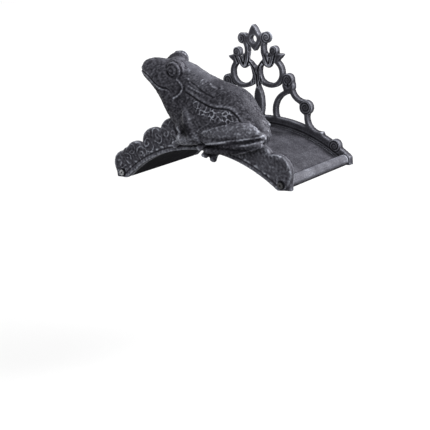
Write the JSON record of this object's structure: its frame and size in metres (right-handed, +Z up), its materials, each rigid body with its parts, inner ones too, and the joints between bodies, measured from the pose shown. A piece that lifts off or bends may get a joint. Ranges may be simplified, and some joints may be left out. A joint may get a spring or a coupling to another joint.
{
  "type": "hose hanger",
  "caption": "Wall-mounted cast hose hanger: openwork scroll back plate, arched saddle and a lily-pad front plate with a seated frog.",
  "frame": {"origin": "centre of the top mounting hole on the wall face of the back plate", "axes": "+X to the right seen from the front, +Y into the wall, +Z up; the front faces -Y"},
  "size_m": [0.2815, 0.1716, 0.18],
  "materials": {
    "cast_metal": "dark antique paint with a pale wash on the high points",
    "fixings": "painted dark with the castings"
  },
  "bodies": {
    "root": {"back_plate": "cast_metal", "saddle": "cast_metal", "frog_front_plate": "cast_metal", "front_screws": "fixings", "rear_pins": "fixings"}
  },
  "joints": []
}
